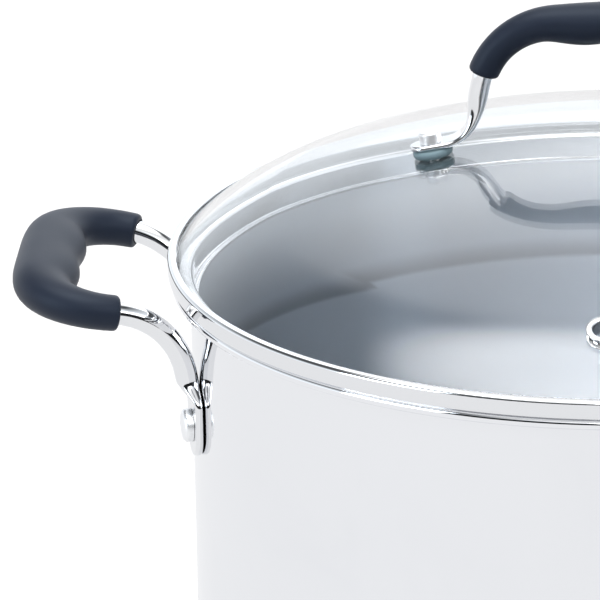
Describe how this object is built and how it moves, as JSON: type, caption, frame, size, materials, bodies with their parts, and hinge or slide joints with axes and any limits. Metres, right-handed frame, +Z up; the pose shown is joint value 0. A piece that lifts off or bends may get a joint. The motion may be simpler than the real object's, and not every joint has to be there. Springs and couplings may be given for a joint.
{
  "type": "water bath canner",
  "caption": "Tall polished steel water bath canner with a domed glass lid in a steel ring, dark sleeved handles and a wire jar rack",
  "frame": {"origin": "Centre of the base's underside, where the pot stands on the burner; bottom centre of the whole box.", "axes": "+X runs through the two side handles, to the right seen from the front; +Y runs to the back, away from the steam vent; +Z is up."},
  "size_m": [0.4234, 0.317, 0.3805],
  "materials": {
    "polished_steel": "mirror-polished outside, satin inside",
    "base_steel": "spun satin underside",
    "core_aluminium": "plain sheet, sealed in the base",
    "handle_steel": "polished rod",
    "ring_steel": "polished rolled band",
    "grip_silicone": "soft matte navy charcoal",
    "seal_rubber": "teal-grey silicone",
    "lid_glass": "clear tempered glass",
    "rack_steel": "bright drawn wire"
  },
  "bodies": {
    "pot": {"pot_shell": "polished_steel", "base_core": "core_aluminium", "base_cap": "base_steel", "left_handle": "handle_steel", "right_handle": "handle_steel", "left_grip": "grip_silicone", "right_grip": "grip_silicone", "left_front_rivet": "handle_steel", "left_rear_rivet": "handle_steel", "right_front_rivet": "handle_steel", "right_rear_rivet": "handle_steel"},
    "lid": {"lid_glass": "lid_glass", "lid_ring": "ring_steel", "lid_handle": "handle_steel", "lid_grip": "grip_silicone", "vent_grommet": "ring_steel", "left_upper_seal": "seal_rubber", "right_upper_seal": "seal_rubber", "left_cap_nut": "handle_steel", "right_cap_nut": "handle_steel", "left_lower_seal": "seal_rubber", "right_lower_seal": "seal_rubber", "left_screw_washer": "rack_steel", "right_screw_washer": "rack_steel", "left_lid_screw": "rack_steel", "right_lid_screw": "rack_steel"},
    "rack": {"rack_frame": "rack_steel"},
    "left_bail": {"left_rack_bail": "rack_steel"},
    "right_bail": {"right_rack_bail": "rack_steel"}
  },
  "joints": [
    {"name": "lid_lift", "type": "slide", "parent": "pot", "child": "lid", "axis": [0, 0, 1], "range_m": [0, 0.25]},
    {"name": "rack_lift", "type": "slide", "parent": "pot", "child": "rack", "axis": [0, 0, 1], "range_m": [0, 0.14]},
    {"name": "left_bail_fold", "type": "hinge", "parent": "rack", "child": "left_bail", "pos_m": [-0.12, 0, 0.02775], "axis": [0, 1, 0], "range_deg": [0, 95]},
    {"name": "right_bail_fold", "type": "hinge", "parent": "rack", "child": "right_bail", "pos_m": [0.12, 0, 0.02775], "axis": [0, -1, 0], "range_deg": [0, 95]}
  ]
}
